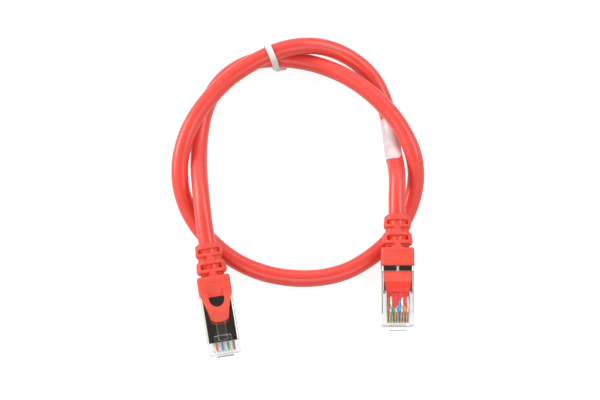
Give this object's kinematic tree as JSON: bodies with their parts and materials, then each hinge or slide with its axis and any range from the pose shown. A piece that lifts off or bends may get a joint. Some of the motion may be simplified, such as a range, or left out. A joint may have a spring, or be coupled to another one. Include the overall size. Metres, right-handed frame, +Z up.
{
  "type": "ethernet patch cable",
  "caption": "Short shielded network patch cable in a tied loop, with a clear modular plug, a metal shield, a latch and a moulded red boot at each end.",
  "frame": {"origin": "on the table, under the middle of the box round both plugs with their boots", "axes": "+Z up from the table the cable lies on, +Y from the plugs' noses towards the loop and square to plug b, +X from plug a to plug b"},
  "size_m": [0.0925, 0.1221, 0.0164],
  "materials": {
    "clear_plastic": "clear moulded polycarbonate, glossy",
    "nickel_sheet": "bright nickel plate on folded sheet",
    "contact_gold": "gold plate on stamped bronze",
    "boot_pvc": "fine satin moulded PVC",
    "mould_pvc": "moulded PVC seen through the clear body",
    "jacket_pvc": "semi-gloss extruded PVC",
    "tie_plastic": "satin white plastic band",
    "label_film": "thin translucent film",
    "wire_white": "smooth wire insulation with a colour stripe",
    "wire_orange": "smooth wire insulation",
    "wire_green": "smooth wire insulation",
    "wire_blue": "smooth wire insulation",
    "wire_brown": "smooth wire insulation"
  },
  "bodies": {
    "cable_and_plugs": {"cable_jacket": "jacket_pvc", "cable_label": "label_film", "cable_tie": "tie_plastic", "plug_a_boot": "boot_pvc", "plug_a_contact_1": "contact_gold", "plug_a_contact_2": "contact_gold", "plug_a_contact_3": "contact_gold", "plug_a_contact_4": "contact_gold", "plug_a_contact_5": "contact_gold", "plug_a_contact_6": "contact_gold", "plug_a_contact_7": "contact_gold", "plug_a_contact_8": "contact_gold", "plug_a_housing": "clear_plastic", "plug_a_inner_mould": "mould_pvc", "plug_a_shield": "nickel_sheet", "plug_a_wire_1": "wire_white", "plug_a_wire_2": "wire_orange", "plug_a_wire_3": "wire_white", "plug_a_wire_4": "wire_blue", "plug_a_wire_5": "wire_white", "plug_a_wire_6": "wire_green", "plug_a_wire_7": "wire_white", "plug_a_wire_8": "wire_brown", "plug_b_boot": "boot_pvc", "plug_b_contact_1": "contact_gold", "plug_b_contact_2": "contact_gold", "plug_b_contact_3": "contact_gold", "plug_b_contact_4": "contact_gold", "plug_b_contact_5": "contact_gold", "plug_b_contact_6": "contact_gold", "plug_b_contact_7": "contact_gold", "plug_b_contact_8": "contact_gold", "plug_b_housing": "clear_plastic", "plug_b_inner_mould": "mould_pvc", "plug_b_shield": "nickel_sheet", "plug_b_wire_1": "wire_white", "plug_b_wire_2": "wire_orange", "plug_b_wire_3": "wire_white", "plug_b_wire_4": "wire_blue", "plug_b_wire_5": "wire_white", "plug_b_wire_6": "wire_green", "plug_b_wire_7": "wire_white", "plug_b_wire_8": "wire_brown"},
    "latch_a": {"plug_a_latch": "clear_plastic"},
    "tongue_a": {"plug_a_boot_tongue": "boot_pvc"},
    "latch_b": {"plug_b_latch": "clear_plastic"},
    "tongue_b": {"plug_b_boot_tongue": "boot_pvc"}
  },
  "joints": [
    {"name": "latch_a_press", "type": "hinge", "parent": "cable_and_plugs", "child": "latch_a", "pos_m": [-0.02842, -0.02327, 0.00714], "axis": [-0.986, -0.1668, 0], "range_deg": [0, 9.5], "stiffness_Nm_per_rad": 0.26},
    {"name": "tongue_a_press", "type": "hinge", "parent": "cable_and_plugs", "child": "tongue_a", "pos_m": [-0.03174, -0.00364, 0.01115], "axis": [-0.986, -0.1668, 0], "range_deg": [-9.9, 0]},
    {"name": "latch_b_press", "type": "hinge", "parent": "cable_and_plugs", "child": "latch_b", "pos_m": [0.03355, -0.01299, 0.00406], "axis": [1, 0, 0], "range_deg": [0, 9.5], "stiffness_Nm_per_rad": 0.26},
    {"name": "tongue_b_press", "type": "hinge", "parent": "cable_and_plugs", "child": "tongue_b", "pos_m": [0.03355, 0.00722, 0.006], "axis": [1, 0, 0], "range_deg": [-9.9, 0]}
  ],
  "couplings": [
    {"joint": "tongue_a_press", "follows": "latch_a_press", "ratio": -1.0421},
    {"joint": "tongue_b_press", "follows": "latch_b_press", "ratio": -1.0421}
  ]
}
